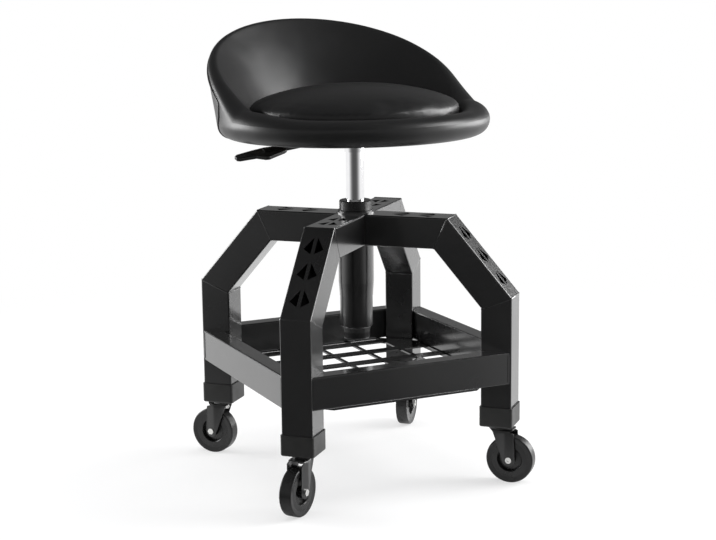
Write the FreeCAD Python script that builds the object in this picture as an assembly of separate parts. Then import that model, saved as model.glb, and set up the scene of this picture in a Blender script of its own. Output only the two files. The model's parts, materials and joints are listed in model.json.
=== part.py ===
import FreeCAD, Part
import math
import os

os.makedirs("parts", exist_ok=True)

V = FreeCAD.Vector
X_AXIS = V(1, 0, 0)
Y_AXIS = V(0, 1, 0)
Z_AXIS = V(0, 0, 1)

# Placement: the model is drawn about the column and moved so that the origin is under the middle
shift_y = -14.6

# Legs: azimuth of each leg and the direction in which its caster trails, in degrees
legs = {
    "front_left": (-135.0, -144.0),
    "front_right": (-45.0, -46.0),
    "back_left": (135.0, 131.0),
    "back_right": (45.0, 48.0),
}
tube_side = 47.5
tube_wall = 2.0
tube_corner = 2.2
arm_top = 405.5
knee_r = 154.4
foot_r = 253.8
foot_z = 289.5
post_bottom = 95.0
stem_r = foot_r - tube_side / 2

# Split triangular cut-outs
cut_half_height = 14.0
cut_half_width = 15.5
cut_bar = 5.6
knee_cuts = (0.20, 0.48, 0.77)
arm_cuts = (74.0, 115.0)

# Leg caps and casters
cap_overhang = 2.0
cap_bottom = 89.0
cap_top = 120.0
wheel_r = 36.5
tyre_half = 9.8
trail = 18.0
stem_shaft_r = 5.0
axle_r = 3.0
running = 0.05
crown_top = 84.0
crown_bottom = 80.0
fork_gap = 10.9
fork_plate = 2.3

# Tray
rail_outer = 194.5
rail_inner = 167.0
rail_bottom = 158.0
rail_top = 207.0
pan_half = 173.0
pan_corner = 117.5
pan_thick = 1.6
hem_bottom = 148.7
field_half = 162.5
field_corner = 116.0
field_top = 158.8
hole_x = 52.0
hole_y = 40.0
hole_limit_x = 164.5
hole_limit_y = 167.0
pitch = 59.0

# Column and gas lift
sleeve_r = 27.2
column_r = 25.3
column_bore = 22.5
tube_r = 14.0
tube_bore = 12.0
tube_bottom = 302.0
tube_top = 512.0
rod_r = 5.0
collar_r = 24.8
collar_bottom = 407.5
collar_top = 424.6

# Seat
seat_half_x = 209.4
seat_half_y = 193.1
rim_centre_r = 185.7
rim_centre_z = 547.8
rim_r = 23.7
rim_inner = 164.0
seat_y = -0.8
board_bottom = 524.0
board_top = 532.6
pad_bottom = 533.0
pad_edge = 576.0
pad_crown = 600.0
back_rise = 139.3
back_lean = 61.0
back_span = 96.9
back_limit = 86.0
edge_r = 6.0
fold_angle = 145.0

# Seat mechanism
plate_half = 75.0
plate_top = 524.0
plate_thick = 3.0
web_bottom = 508.5
cheek_y = 20.0
pivot_x = -30.0
pivot_z = 514.5
arm_bend = V(-84, 0, 514.4)
arm_end = V(-136, 0, 507.4)
grip_roll = 14.0


def box(x0, x1, y0, y1, z0, z1):
    return Part.makeBox(x1 - x0, y1 - y0, z1 - z0, V(x0, y0, z0))


def rod(radius, z0, z1, x=0.0, y=0.0):
    return Part.makeCylinder(radius, z1 - z0, V(x, y, z0), Z_AXIS)


def ring(outer, inner, z0, z1):
    return rod(outer, z0, z1).cut(rod(inner, z0 - 1, z1 + 1))


def cross_rod(radius, y0, y1, x, z):
    return Part.makeCylinder(radius, y1 - y0, V(x, y0, z), Y_AXIS)


def prism(points, vector):
    wire = Part.makePolygon(points + [points[0]])
    return Part.Face(wire).extrude(vector)


def side_prism(points, half):
    corners = [V(x, -half, z) for x, z in points]
    return prism(corners, V(0, 2 * half, 0))


def plan_prism(points, z0, z1):
    corners = [V(x, y, z0) for x, y in points]
    return prism(corners, V(0, 0, z1 - z0))


def turned_profile(edges, axis):
    face = Part.Face(Part.Wire(edges))
    return face.revolve(V(0, 0, 0), axis, 360)


def lathe(points):
    corners = [V(r, 0, z) for r, z in points]
    wire = Part.makePolygon(corners + [corners[0]])
    return Part.Face(wire).revolve(V(0, 0, 0), Z_AXIS, 360)


def turn(shape, degrees):
    out = shape.copy()
    out.rotate(V(0, 0, 0), Z_AXIS, degrees)
    return out


def moved(shape, x, y, z):
    out = shape.copy()
    out.translate(V(x, y, z))
    return out


def save(name, shapes):
    shape = shapes[0] if len(shapes) == 1 else Part.makeCompound(shapes)
    moved(shape, 0, shift_y, 0).exportStep("parts/" + name + ".step")


def rounded_rect(half_a, half_b, radius, z):
    s = radius * (1 - math.sqrt(0.5))
    r = radius
    edges = []
    for n in range(4):
        c, d = math.cos(n * math.pi / 2), math.sin(n * math.pi / 2)
        a, b = (half_a, half_b) if n % 2 == 0 else (half_b, half_a)
        start = (a, -b + r)
        mid = (a, b - r)
        bend = (a - s, b - s)
        end = (a - r, b)
        p = [V(u * c - v * d, u * d + v * c, z) for u, v in (start, mid, bend, end)]
        edges.append(Part.makeLine(p[0], p[1]))
        edges.append(Part.Arc(p[1], p[2], p[3]).toShape())
    return Part.Face(Part.Wire(edges))


# Leg frames

def square_tube(start, end, overrun):
    run = V(end[0] - start[0], 0, end[1] - start[1])
    length = run.Length + 2 * overrun
    half = tube_side / 2
    inner = half - tube_wall
    outer_solid = rounded_rect(half, half, tube_corner, 0).extrude(V(0, 0, length))
    inner_solid = rounded_rect(inner, inner, 1.0, -1).extrude(V(0, 0, length + 2))
    tube = outer_solid.cut(inner_solid)
    back = run.normalize().multiply(overrun)
    base = V(start[0], 0, start[1]).sub(back)
    tube.Placement = FreeCAD.Placement(base, FreeCAD.Rotation(Z_AXIS, run))
    return tube


def knee_lines():
    slope = math.atan2(arm_top - foot_z, foot_r - knee_r)
    top_inner = knee_r - tube_side * math.tan(slope / 2)
    drop = tube_side * math.tan((math.pi / 2 - slope) / 2)
    return slope, top_inner, foot_z - drop


def triangle_cuts(centre, up, normal):
    shapes = []
    for side in (-1, 1):
        corners = []
        for across, along in (
            (cut_bar / 2, cut_half_height),
            (cut_half_width, -0.42 * cut_half_height),
            (cut_bar / 2, -cut_half_height),
        ):
            corners.append(V(centre) + Y_AXIS * (side * across) + V(up) * along + V(normal) * 1.0)
        shapes.append(prism(corners, V(normal) * -5.0))
    return shapes


def leg_solids():
    slope, top_inner, foot_inner = knee_lines()
    half = tube_side / 2
    c, s = math.cos(slope), math.sin(slope)
    k1 = (knee_r - top_inner) / tube_side
    k2 = (foot_z - foot_inner) / tube_side

    def first(z):
        return (knee_r + (z - arm_top) * k1, z)

    def second(r):
        return (r, foot_z + (r - foot_r) * k2)

    arm = square_tube((0, arm_top - half), (knee_r, arm_top - half), 30)
    arm = arm.common(side_prism([(0, 340), first(340), first(420), (0, 420)], 40))
    wedge = plan_prism([(0, 0), (300, 300), (300, -300)], 300, 450)
    arm = arm.common(wedge).cut(rod(sleeve_r, 300, 450))
    for r in arm_cuts:
        for cutter in triangle_cuts((r, 0, arm_top), (-1, 0, 0), (0, 0, 1)):
            arm = arm.cut(cutter)

    p = (knee_r - half * s, arm_top - half * c)
    q = (foot_r - half * s, foot_z - half * c)
    knee = square_tube(p, q, 60)
    knee = knee.common(side_prism([first(430), first(320), second(170), second(290)], 40))
    length = math.hypot(foot_r - knee_r, arm_top - foot_z)
    for fraction in knee_cuts:
        d = length * fraction
        centre = (knee_r + c * d, 0, arm_top - s * d)
        for cutter in triangle_cuts(centre, (-c, 0, s), (s, 0, c)):
            knee = knee.cut(cutter)

    post = square_tube((stem_r, 340), (stem_r, post_bottom), 10)
    post = post.common(side_prism([second(190), (190, post_bottom), (270, post_bottom), second(270)], 40))
    inner = half - tube_wall
    plate = rounded_rect(inner, inner, 1.0, post_bottom).extrude(V(0, 0, 6))
    plate = moved(plate, stem_r, 0, 0).cut(rod(stem_shaft_r, 0, 200, stem_r))
    return [arm, knee, post, plate]


def leg_cap():
    half = tube_side / 2 + cap_overhang
    cap = rounded_rect(half, half, 4.0, cap_bottom).extrude(V(0, 0, cap_top - cap_bottom))
    low = [e for e in cap.Edges if abs(e.BoundBox.ZMax - cap_bottom) < 1e-6]
    cap = cap.makeFillet(3.0, low)
    socket = rounded_rect(tube_side / 2, tube_side / 2, tube_corner, post_bottom)
    cap = cap.cut(socket.extrude(V(0, 0, 60)))
    cap = cap.cut(rod(stem_shaft_r, 0, 200))
    return moved(cap, stem_r, 0, 0)


# Casters, drawn with the stem at the origin and the wheel trailing along +X

def hex_prism(across_flats, z0, z1):
    r = across_flats / math.sqrt(3)
    points = [(r * math.cos(math.pi / 3 * n), r * math.sin(math.pi / 3 * n)) for n in range(6)]
    return plan_prism(points, z0, z1)


def caster_stem():
    r = stem_shaft_r
    shaft = lathe([
        (0, 73.6), (r, 73.6), (r, crown_top + 0.2), (17, crown_top + 0.2), (17, 87.4),
        (14, cap_bottom), (r, cap_bottom), (r, 118), (0, 118),
    ])
    nut = hex_prism(15, 74.8, crown_bottom - 0.2).cut(rod(r, 0, 200))
    return [shaft, nut]


def caster_fork():
    r = stem_shaft_r + running
    outer = fork_gap + fork_plate
    crown = rounded_rect(19.5, outer, 5.0, crown_bottom).extrude(V(0, 0, crown_top - crown_bottom))
    crown = moved(crown, 4.5, 0, 0).cut(rod(r, 0, 200))
    solids = [crown]
    for y in (-outer, fork_gap):
        foot = wheel_r
        a = V(-14.5, y, crown_bottom)
        b = V(-14.3, y, 78.5)
        t = V(trail - 8.3, y, foot - 4.6)
        m = V(trail, y, foot - 9.5)
        u = V(trail + 9.5, y, foot)
        w = V(23.5, y, crown_bottom)
        edges = [
            Part.makeLine(a, b),
            Part.makeLine(b, t),
            Part.Arc(t, m, u).toShape(),
            Part.makeLine(u, w),
            Part.makeLine(w, a),
        ]
        plate = Part.Face(Part.Wire(edges)).extrude(V(0, fork_plate, 0))
        solids.append(plate.cut(cross_rod(axle_r, -30, 30, trail, wheel_r)))
    return solids


def caster_axle():
    outer = fork_gap + fork_plate
    shaft = cross_rod(axle_r, -outer, outer, trail, wheel_r)
    head = cross_rod(4.8, -outer - 2.6, -outer, trail, wheel_r)
    head = head.cut(cross_rod(2.2, -outer - 3, -outer - 1.2, trail, wheel_r))
    nut = hex_prism(9, outer, outer + 3.0)
    nut.rotate(V(0, 0, 0), X_AXIS, -90)
    nut = moved(nut, trail, 0, wheel_r)
    return [shaft.fuse(head).fuse(nut).removeSplitter()]


def caster_hub():
    bore = axle_r + running
    points = [
        (bore, -10.5), (8, -10.5), (9, -4), (17.5, -3), (18.8, -8.1), (19.6, -8.8), (28, -8.8),
        (28, 8.8), (19.6, 8.8), (18.8, 8.1), (17.5, 3), (9, 4), (8, 10.5), (bore, 10.5),
    ]
    corners = [V(r, y, 0) for r, y in points]
    face = Part.Face(Part.makePolygon(corners + [corners[0]]))
    return [moved(face.revolve(V(0, 0, 0), Y_AXIS, 360), trail, 0, wheel_r)]


def caster_tyre():
    h = tyre_half
    p = [
        V(28, -8.8, 0),
        V(wheel_r - 2.2, -h, 0),
        V(wheel_r - 0.644, -h + 0.644, 0),
        V(wheel_r, -h + 2.2, 0),
    ]
    q = [V(v.x, -v.y, 0) for v in reversed(p)]
    edges = [
        Part.makeLine(p[0], p[1]),
        Part.Arc(p[1], p[2], p[3]).toShape(),
        Part.makeLine(p[3], q[0]),
        Part.Arc(q[0], q[1], q[2]).toShape(),
        Part.makeLine(q[2], q[3]),
        Part.makeLine(q[3], p[0]),
    ]
    return [moved(turned_profile(edges, Y_AXIS), trail, 0, wheel_r)]


def place_caster(solids, azimuth, direction):
    a = math.radians(azimuth)
    x, y = stem_r * math.cos(a), stem_r * math.sin(a)
    return [moved(turn(s, direction), x, y, 0) for s in solids]


# Tray

def tray_rail():
    # The end faces lie on the sides of the posts, which stand at 45 degrees
    long_half = rail_outer - tube_side * math.sqrt(0.5)
    short_half = rail_inner - tube_side * math.sqrt(0.5)
    plan = [
        (-long_half, -rail_outer),
        (long_half, -rail_outer),
        (short_half, -rail_inner),
        (-short_half, -rail_inner),
    ]
    mid_y = -(rail_outer + rail_inner) / 2
    mid_z = (rail_bottom + rail_top) / 2
    half_y = (rail_outer - rail_inner) / 2
    half_z = (rail_top - rail_bottom) / 2
    outer = rounded_rect(half_z, half_y, 2.4, -170).extrude(V(0, 0, 340))
    inner = rounded_rect(half_z - 2, half_y - 2, 0.8, -171).extrude(V(0, 0, 342))
    tube = outer.cut(inner)
    tube.rotate(V(0, 0, 0), Y_AXIS, 90)
    tube.translate(V(0, mid_y, mid_z))
    return tube.common(plan_prism(plan, 100, 250))


def octagon(half, corner, z0, z1):
    h, c = half, corner
    points = [(h, c), (c, h), (-c, h), (-h, c), (-h, -c), (-c, -h), (c, -h), (h, -c)]
    return plan_prism(points, z0, z1)


def tray_pan():
    t = pan_thick
    pan = octagon(pan_half, pan_corner, hem_bottom, rail_bottom)
    inner = octagon(pan_half - t, pan_corner - 0.4 * t, hem_bottom - 1, rail_bottom - t)
    pan = pan.cut(inner).fuse(octagon(field_half, field_corner, rail_bottom, field_top)).removeSplitter()
    # The hem is left off along the back
    pan = pan.cut(box(2 - pan_corner, pan_corner - 2, pan_half - 2, pan_half + 1, hem_bottom - 1, rail_bottom - t))
    for i in range(6):
        for j in range(7):
            x, y = (i - 2.5) * pitch, (j - 3) * pitch
            x0, x1 = max(x - hole_x / 2, -hole_limit_x), min(x + hole_x / 2, hole_limit_x)
            y0, y1 = max(y - hole_y / 2, -hole_limit_y), min(y + hole_y / 2, hole_limit_y)
            if abs(x) + abs(y) > 266 or abs(x) > 140 and abs(y) > 100:
                continue
            pan = pan.cut(box(x0, x1, y0, y1, rail_bottom - t - 1, rail_bottom + 1))
    return pan


def rail_tabs():
    # Weld strips along the ends of the rails
    tabs = []
    end = rail_outer - tube_side * math.sqrt(0.5)
    for n in range(4):
        for side in (-1, 1):
            x = side * (end - 1.6)
            tab = box(x - 1.4, x + 1.4, -rail_outer - 0.7, -rail_outer, rail_bottom + 4, rail_top - 4)
            tabs.append(turn(tab, 90 * n))
    return tabs


# Column and gas lift

def column_tube():
    r, b, s = column_r, column_bore, rod_r + running
    return lathe([
        (s, 208), (19.4, 208), (20.2, 210), (20.9, 219), (22.4, 226), (r, 228.5), (r, collar_bottom),
        (b, collar_bottom), (b, 230), (20.4, 227), (18.4, 212), (s, 212),
    ])


def hub_sleeve():
    r = sleeve_r
    return lathe([
        (column_r, 276), (25.8, 276), (26.0, 281), (r, 297), (r, arm_top), (column_r, arm_top),
    ])


def column_collar():
    r = collar_r
    bore = tube_r + 0.4
    body = lathe([
        (bore, collar_bottom), (27, collar_bottom), (27, collar_bottom + 2.2), (r, collar_bottom + 2.8),
        (r, collar_top - 1.2), (r - 1.2, collar_top), (bore, collar_top),
    ])
    for n in range(5):
        z = collar_bottom + 4.6 + 2.5 * n
        body = body.cut(ring(r + 1, r - 0.6, z, z + 0.9))
    return body


def bearing_balls():
    balls = []
    for n in range(9):
        ball = Part.makeSphere(2.4, V(8.4, 0, 217))
        balls.append(turn(ball, 40 * n))
    return balls


def piston_rod():
    r = rod_r
    return lathe([(0, 202), (r, 202), (r, 222.05), (7, 222.05), (7, 226), (r, 226), (r, 350), (0, 350)])


def pressure_tube():
    return lathe([
        (tube_bore, tube_bottom), (tube_r - 0.8, tube_bottom), (tube_r, tube_bottom + 0.8),
        (tube_r, tube_top), (3.05, tube_top), (3.05, tube_top - 8), (tube_bore, tube_top - 8),
    ])


def valve_pin():
    return lathe([(0, 498), (3, 498), (3, 514.2), (1, 515.6), (0, 515.6)])


# Seat mechanism

def seat_plate():
    t = plate_thick
    top = rounded_rect(plate_half, plate_half, 12, plate_top - t).extrude(V(0, 0, t))
    for x in (-58, 58):
        for y in (-58, 58):
            top = top.cut(rod(3.2, 500, 530, x, y))
    top = top.cut(box(-plate_half - 1, -46, -7, 7, 500, 530))
    low = plate_top - t
    cheeks = [box(-44, 26, y, y + 2.5, web_bottom, low) for y in (-cheek_y - 2.5, cheek_y)]
    cheeks = [c.cut(cross_rod(3, -30, 30, pivot_x, pivot_z)) for c in cheeks]
    web = box(-20, 26, -cheek_y, cheek_y, web_bottom, web_bottom + 2.5).cut(rod(tube_r, 490, 530))
    return [top] + cheeks + [web]


def lever_arm():
    bore = 3.0 + running
    block = box(pivot_x - 6, pivot_x + 7, -6, 6, 509.0, 519.7)
    tongue = box(pivot_x + 6, 4, -5, 5, 515.7, 519.7)
    start = V(pivot_x - 5, 0, arm_bend.z)
    bend = arm_bend
    end = arm_end
    first = Part.makeCylinder(4, bend.sub(start).Length, start, bend.sub(start))
    second = Part.makeCylinder(4, end.sub(bend).Length, bend, end.sub(bend))
    joint = Part.makeSphere(4, bend)
    arm = block.fuse([tongue, first, joint, second])
    return [arm.cut(cross_rod(bore, -30, 30, pivot_x, pivot_z))]


def lever_grip():
    # Drawn level with its axis along X, then rolled, sloped and set on the end of the arm
    plan = [
        (-32, 7), (-32, -9), (-36, -12), (-66, -23), (-72, -21), (-82, -10), (-107, -7.5),
        (-111, -4), (-111, 4), (-107, 8), (-82, 12), (-60, 14), (-44, 11),
    ]
    paddle = plan_prism(plan, -3.2, 3.2)
    long_edges = [e for e in paddle.Edges if e.BoundBox.ZLength < 1e-6]
    paddle = paddle.makeFillet(2.0, long_edges)
    socket = Part.makeCylinder(6, 34, V(-66, 0, 0), X_AXIS)
    grip = paddle.fuse(socket)
    grip.rotate(V(0, 0, 0), X_AXIS, grip_roll)
    run = arm_end - arm_bend
    grip.rotate(V(0, 0, 0), Y_AXIS, math.degrees(math.atan2(run.z, -run.x)))
    grip.translate(arm_bend)
    cutter = Part.makeCylinder(4, run.Length, arm_bend, run)
    return [grip.cut(cutter)]


def seat_bolts():
    bolts = []
    for x in (-58, 58):
        for y in (-58, 58):
            head = hex_prism(10, plate_top - plate_thick - 4, plate_top - plate_thick)
            bolts.append(moved(head, x, y, 0).fuse(rod(3, 518, 530, x, y)))
    return bolts


# Seat upholstery, drawn round and then pressed to an oval

def oval(shape):
    matrix = FreeCAD.Matrix()
    matrix.scale(1.0, seat_half_y / seat_half_x, 1.0)
    return moved(shape.transformGeometry(matrix), 0, seat_y, 0)


def seat_board():
    board = rod(rim_inner - 0.4, board_bottom, board_top)
    board = oval(board)
    for x in (-58, 58):
        for y in (-58, 58):
            board = board.cut(rod(3.2, 500, 531, x, y))
    return board


def rim_point(radius, degrees):
    a = math.radians(degrees)
    return V(rim_centre_r + radius * math.cos(a), 0, rim_centre_z + radius * math.sin(a))


def seat_rim():
    bottom_in = V(rim_inner, 0, board_bottom + 0.1)
    crease = V(rim_inner, 0, 556)
    fold = rim_point(rim_r, fold_angle)
    edges = [
        Part.makeLine(bottom_in, rim_point(rim_r, -90)),
        Part.Arc(rim_point(rim_r, -90), rim_point(rim_r, -45), rim_point(rim_r, 0)).toShape(),
        Part.Arc(rim_point(rim_r, 0), rim_point(rim_r, 45), rim_point(rim_r, 90)).toShape(),
        Part.Arc(rim_point(rim_r, 90), rim_point(rim_r, 118), fold).toShape(),
        Part.makeLine(fold, crease),
        Part.makeLine(crease, bottom_in),
    ]
    return oval(turned_profile(edges, Z_AXIS))


def seat_pad():
    r = rim_inner - 0.4
    edges = [
        Part.makeLine(V(0, 0, pad_bottom), V(r, 0, pad_bottom)),
        Part.makeLine(V(r, 0, pad_bottom), V(r, 0, 557)),
        Part.Arc(V(r, 0, 557), V(r - 3.4, 0, 569.5), V(r - 13, 0, pad_edge)).toShape(),
        Part.Arc(V(r - 13, 0, pad_edge), V(82, 0, 593.5), V(0, 0, pad_crown)).toShape(),
        Part.makeLine(V(0, 0, pad_crown), V(0, 0, pad_bottom)),
    ]
    return oval(turned_profile(edges, Z_AXIS))


def back_frame(phi):
    """Tip centre, tip radius and the two angles where the faces leave the rim's circle and the tip's."""
    k = math.cos(math.radians(phi / back_span * 90)) ** 1.06
    lean = back_lean + 5.2 * math.cos(math.radians(phi)) ** 2
    tip = V(rim_centre_r + lean * k, 0, rim_centre_z + back_rise * k)
    shrink = min(1.0, k / 0.35)
    shrink = shrink * (2 - shrink)
    tip_r = rim_r - (rim_r - edge_r) * shrink
    direction = math.degrees(math.atan2(back_rise, lean))
    opening = math.degrees(math.acos((rim_r - tip_r) / (math.hypot(lean, back_rise) * k)))
    return k, tip, tip_r, direction - opening, direction + opening


def tip_point(tip, radius, degrees):
    a = math.radians(degrees)
    return V(tip.x + radius * math.cos(a), 0, tip.z + radius * math.sin(a))


def back_section(phi):
    k, tip, tip_r, low, high = back_frame(phi)
    inner = min(high, fold_angle)
    gap_r = rim_r + 0.4
    low_in = rim_point(gap_r, inner)
    low_out = rim_point(gap_r, low)
    tip_out = tip_point(tip, tip_r, low)
    tip_in = tip_point(tip, tip_r, high)
    rise = (tip_in - low_in).normalize()
    mid_in = (low_in + tip_in) * 0.5 + V(-rise.z, 0, rise.x) * (3.2 * k + 0.05)
    edges = [
        Part.Arc(low_in, rim_point(gap_r, (inner + low) / 2), low_out).toShape(),
        Part.makeLine(low_out, tip_out),
        Part.Arc(tip_out, tip_point(tip, tip_r, (low + high) / 2), tip_in).toShape(),
        Part.Arc(tip_in, mid_in, low_in).toShape(),
    ]
    return turn(Part.Wire(edges), 90 + phi)


def panel_section(phi):
    k, tip, tip_r, low, high = back_frame(phi)
    low_out = rim_point(rim_r + 0.4, low)
    tip_out = tip_point(tip, tip_r, low)
    face = (tip_out - low_out).normalize()
    side = V(face.z, 0, -face.x)
    a = low_out + face * 4.0 + side * 0.35
    b = tip_out - face * 4.0 + side * 0.35
    points = [a, b, b + side * 1.4, a + side * 1.4, a]
    return turn(Part.makePolygon(points), 90 + phi)


def backrest():
    steps = [-back_limit + 2 * back_limit * n / 16 for n in range(17)]
    return oval(Part.makeLoft([back_section(p) for p in steps], True, False))


def back_panel():
    steps = [-76 + 152 * n / 14 for n in range(15)]
    return oval(Part.makeLoft([panel_section(p) for p in steps], True, False))


# Build

leg = leg_solids()
cap = leg_cap()
for name, (azimuth, direction) in legs.items():
    save("leg_" + name, [turn(s, azimuth) for s in leg])
    save("leg_cap_" + name, [turn(cap, azimuth)])
    save("caster_stem_" + name, place_caster(caster_stem(), azimuth, direction))
    save("caster_fork_" + name, place_caster(caster_fork(), azimuth, direction))
    save("caster_axle_" + name, place_caster(caster_axle(), azimuth, direction))
    save("caster_wheel_" + name, place_caster(caster_hub(), azimuth, direction))
    save("caster_tyre_" + name, place_caster(caster_tyre(), azimuth, direction))

rail = tray_rail()
for name, angle in (("front", 0), ("right", 90), ("back", 180), ("left", 270)):
    save("tray_rail_" + name, [turn(rail, angle)])
save("tray_pan", [tray_pan()])
save("rail_tabs", rail_tabs())

save("hub_sleeve", [hub_sleeve()])
save("hub_washer", [ring(30, column_r, arm_top, collar_bottom)])
save("column_tube", [column_tube()])
save("guide_bush", [ring(column_bore, tube_r + running, 384, collar_bottom)])
save("column_collar", [column_collar()])
save("bearing_race_lower", [ring(12.5, rod_r + running, 212, 214.5)])
save("bearing_balls", bearing_balls())
save("bearing_race_upper", [ring(12.5, rod_r, 219.5, 222)])
save("piston_rod", [piston_rod()])
save("piston_head", [ring(tube_bore - running, rod_r, 332, 350)])
save("retaining_clip", [ring(9.5, rod_r, 204, 206.5)])
save("tube_plug", [ring(tube_bore, rod_r + running, tube_bottom, 327)])
save("pressure_tube", [pressure_tube()])
save("top_ring", [ring(16, tube_r, 499, web_bottom)])
save("valve_pin", [valve_pin()])

save("seat_plate", seat_plate())
save("plate_hub", [ring(19, tube_r, web_bottom + 2.5, tube_top)])
save("lever_pin", [cross_rod(3, -cheek_y - 4.5, cheek_y + 4.5, pivot_x, pivot_z)])
save("lever_arm", lever_arm())
save("lever_grip", lever_grip())
save("seat_bolts", seat_bolts())
save("seat_board", [seat_board()])
save("seat_rim", [seat_rim()])
save("seat_pad", [seat_pad()])
save("backrest", [backrest()])
save("back_panel", [back_panel()])
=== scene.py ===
"""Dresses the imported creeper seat: upholstery, forks, welds, finishes, studio and camera."""
import json
import logging
import math
from dataclasses import dataclass
from enum import Enum
from typing import Iterable, Sequence

import bmesh
import bpy
from bpy.types import Material, NodeSocket, NodeTree, Object
from mathutils import Matrix, Vector, noise


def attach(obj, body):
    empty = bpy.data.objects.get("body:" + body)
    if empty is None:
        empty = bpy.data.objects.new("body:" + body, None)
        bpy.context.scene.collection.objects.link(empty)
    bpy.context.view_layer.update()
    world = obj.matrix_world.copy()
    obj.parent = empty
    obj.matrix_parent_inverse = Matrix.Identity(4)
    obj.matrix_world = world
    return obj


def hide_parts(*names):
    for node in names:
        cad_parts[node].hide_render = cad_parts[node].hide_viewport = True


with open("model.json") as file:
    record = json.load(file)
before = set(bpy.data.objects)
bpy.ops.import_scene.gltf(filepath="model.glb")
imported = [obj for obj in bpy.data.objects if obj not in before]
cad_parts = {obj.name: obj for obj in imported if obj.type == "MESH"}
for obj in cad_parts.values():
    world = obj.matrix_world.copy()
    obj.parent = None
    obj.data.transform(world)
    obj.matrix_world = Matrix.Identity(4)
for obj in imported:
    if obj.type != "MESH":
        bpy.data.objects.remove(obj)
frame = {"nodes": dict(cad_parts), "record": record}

LOG = logging.getLogger("creeper_seat")

# Shapes are drawn in millimetres about the column; the seat is a circle squeezed along Y by OVAL.
MM = 0.001
COLUMN_Y = -14.6
SEAT_Y = COLUMN_Y - 0.8
OVAL = 193.1 / 209.4
RIM_R, RIM_Z, RIM_ROUND = 185.7, 547.8, 23.7
INNER_R = 164.0
BACK_RISE, BACK_LEAN, BACK_SPAN = 139.3, 61.0, 96.9
FOLD_ANGLE = 145.0
STEM_R = 230.05
TUBE = 47.5

Point = Pair = tuple[float, float]
Triple = tuple[float, float, float]


class Leg(Enum):
    """The legs: label in the CAD nodes, azimuth from the column and trail of the caster, in degrees."""

    FRONT_LEFT = ("front_left", -135.0, -144.0)
    FRONT_RIGHT = ("front_right", -45.0, -46.0)
    BACK_LEFT = ("back_left", 135.0, 131.0)
    BACK_RIGHT = ("back_right", 45.0, 48.0)

    def __init__(self, label: str, azimuth: float, trail: float) -> None:
        """Takes up the values of one leg."""
        self.label, self.azimuth, self.trail = label, azimuth, trail

    def at_leg(self) -> Matrix:
        """From a frame whose X runs out along the leg to the column's frame, in millimetres."""
        return Matrix.Rotation(math.radians(self.azimuth), 4, "Z")

    def at_caster(self) -> Matrix:
        """From a frame at the stem whose X runs along the trail to the column's frame, in millimetres."""
        stem = self.at_leg() @ Vector((STEM_R, 0.0, 0.0))
        return Matrix.Translation(stem) @ Matrix.Rotation(math.radians(self.trail), 4, "Z")


@dataclass(frozen=True)
class Grain:
    """A cloudy tone with a fine bump.

    cloud and fine are the scale and detail of a noise; without fine, the cloud is the bump too.
    shades are the darkest and lightest share of the colour. stretch goes with the bump's noise.
    """

    cloud: Pair
    shades: Pair
    depth: float
    strength: float
    fine: Pair | None = None
    stretch: Triple = (1.0, 1.0, 1.0)


class Pattern(Enum):
    """Surface patterns that a finish can carry; leather adds its cells to the grain."""

    POWDER = Grain((9.0, 4.0), (0.8, 1.2), 0.0001, 0.05, (420.0, 2.0))
    LEATHER = Grain((14.0, 4.0), (0.75, 1.2), 0.00006, 0.22, (2600.0, 2.0))
    MOULDED = Grain((30.0, 3.0), (0.8, 1.25), 0.00008, 0.3, (1500.0, 2.0))
    RUBBER = Grain((40.0, 4.0), (0.7, 1.5), 0.0001, 0.35, (1100.0, 3.0))
    METAL = Grain((60.0, 3.0), (0.92, 1.04), 0.00002, 0.1, (700.0, 2.0), (1.0, 1.0, 0.05))
    WOOD = Grain((60.0, 6.0), (0.6, 1.25), 0.0003, 0.4, stretch=(1.0, 0.08, 1.0))
    FELT = Grain((500.0, 4.0), (0.7, 1.4), 0.0002, 0.5, (2200.0, 2.0))
    THREAD = Grain((1800.0, 2.0), (0.7, 1.4), 0.0002, 0.5, stretch=(1.0, 1.0, 2.5))


class Wire:
    """A shader value with arithmetic: each operator adds one node to the tree."""

    def __init__(self, graph: "Graph", socket: NodeSocket) -> None:
        """Wraps an output socket of a graph."""
        self.graph = graph
        self.socket = socket

    def _math(self, operation: str, *values: "Wire | float") -> "Wire":
        """Adds a Math node."""
        return self.graph.node("ShaderNodeMath", values, operation=operation)

    def __add__(self, other: "Wire | float") -> "Wire":
        """The sum."""
        return self._math("ADD", self, other)

    def __sub__(self, other: "Wire | float") -> "Wire":
        """This value less another."""
        return self._math("SUBTRACT", self, other)

    def __mul__(self, other: "Wire | float") -> "Wire":
        """The product."""
        return self._math("MULTIPLY", self, other)

    def __rsub__(self, other: float) -> "Wire":
        """A number less this value."""
        return self._math("SUBTRACT", other, self)

    __radd__ = __add__
    __rmul__ = __mul__

    def power(self, exponent: float) -> "Wire":
        """This value raised to a power."""
        return self._math("POWER", self, exponent)

    def larger(self, other: "Wire | float") -> "Wire":
        """The larger of this value and another."""
        return self._math("MAXIMUM", self, other)

    def ramp(self, low: float, high: float, to_low: float = 0.0, to_high: float = 1.0) -> "Wire":
        """Maps low..high smoothly to to_low..to_high.

        Args:
            low: input value at the start.
            high: input value at the end.
            to_low: result at low.
            to_high: result at high.

        Returns:
            The mapped value.
        """
        return self.graph.node(
            "ShaderNodeMapRange", [self, low, high, to_low, to_high], interpolation_type="SMOOTHSTEP"
        )


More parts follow.
